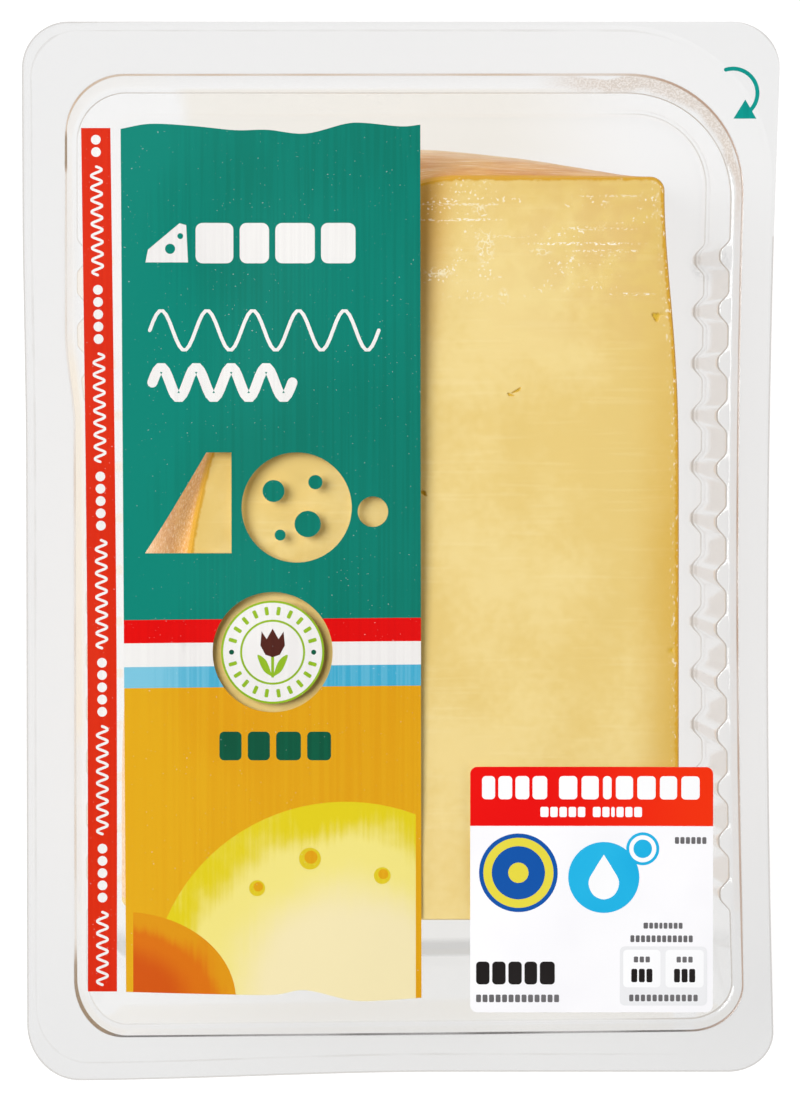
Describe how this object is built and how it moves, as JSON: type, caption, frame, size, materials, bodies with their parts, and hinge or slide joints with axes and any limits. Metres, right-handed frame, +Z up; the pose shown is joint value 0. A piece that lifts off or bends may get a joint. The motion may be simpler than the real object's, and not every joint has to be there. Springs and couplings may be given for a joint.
{
  "type": "pack of gouda cheese",
  "caption": "Slab of gouda cheese with rind, sealed in a clear deep-drawn plastic tray with corrugated long walls under a printed film with a square label.",
  "frame": {"origin": "under the middle of the pack, on the plane that the tray's floor rests on", "axes": "+Z up, out of the film; +Y along the pack's length, towards the end with the peel corner; +X across, towards the peel corner's side"},
  "size_m": [0.1784, 0.25, 0.048],
  "materials": {
    "tray_plastic": "clear, glossy, slightly hazy thermoformed plastic",
    "lid_film": "clear glossy film with fields of green, red, white, light blue and amber print",
    "cheese": "smooth waxy cut face in pale yellow, orange-brown satin rind",
    "label_paper": "coated white label with a red head"
  },
  "bodies": {
    "root": {"tray": "tray_plastic", "film": "lid_film", "cheese": "cheese", "label": "label_paper"}
  },
  "joints": []
}
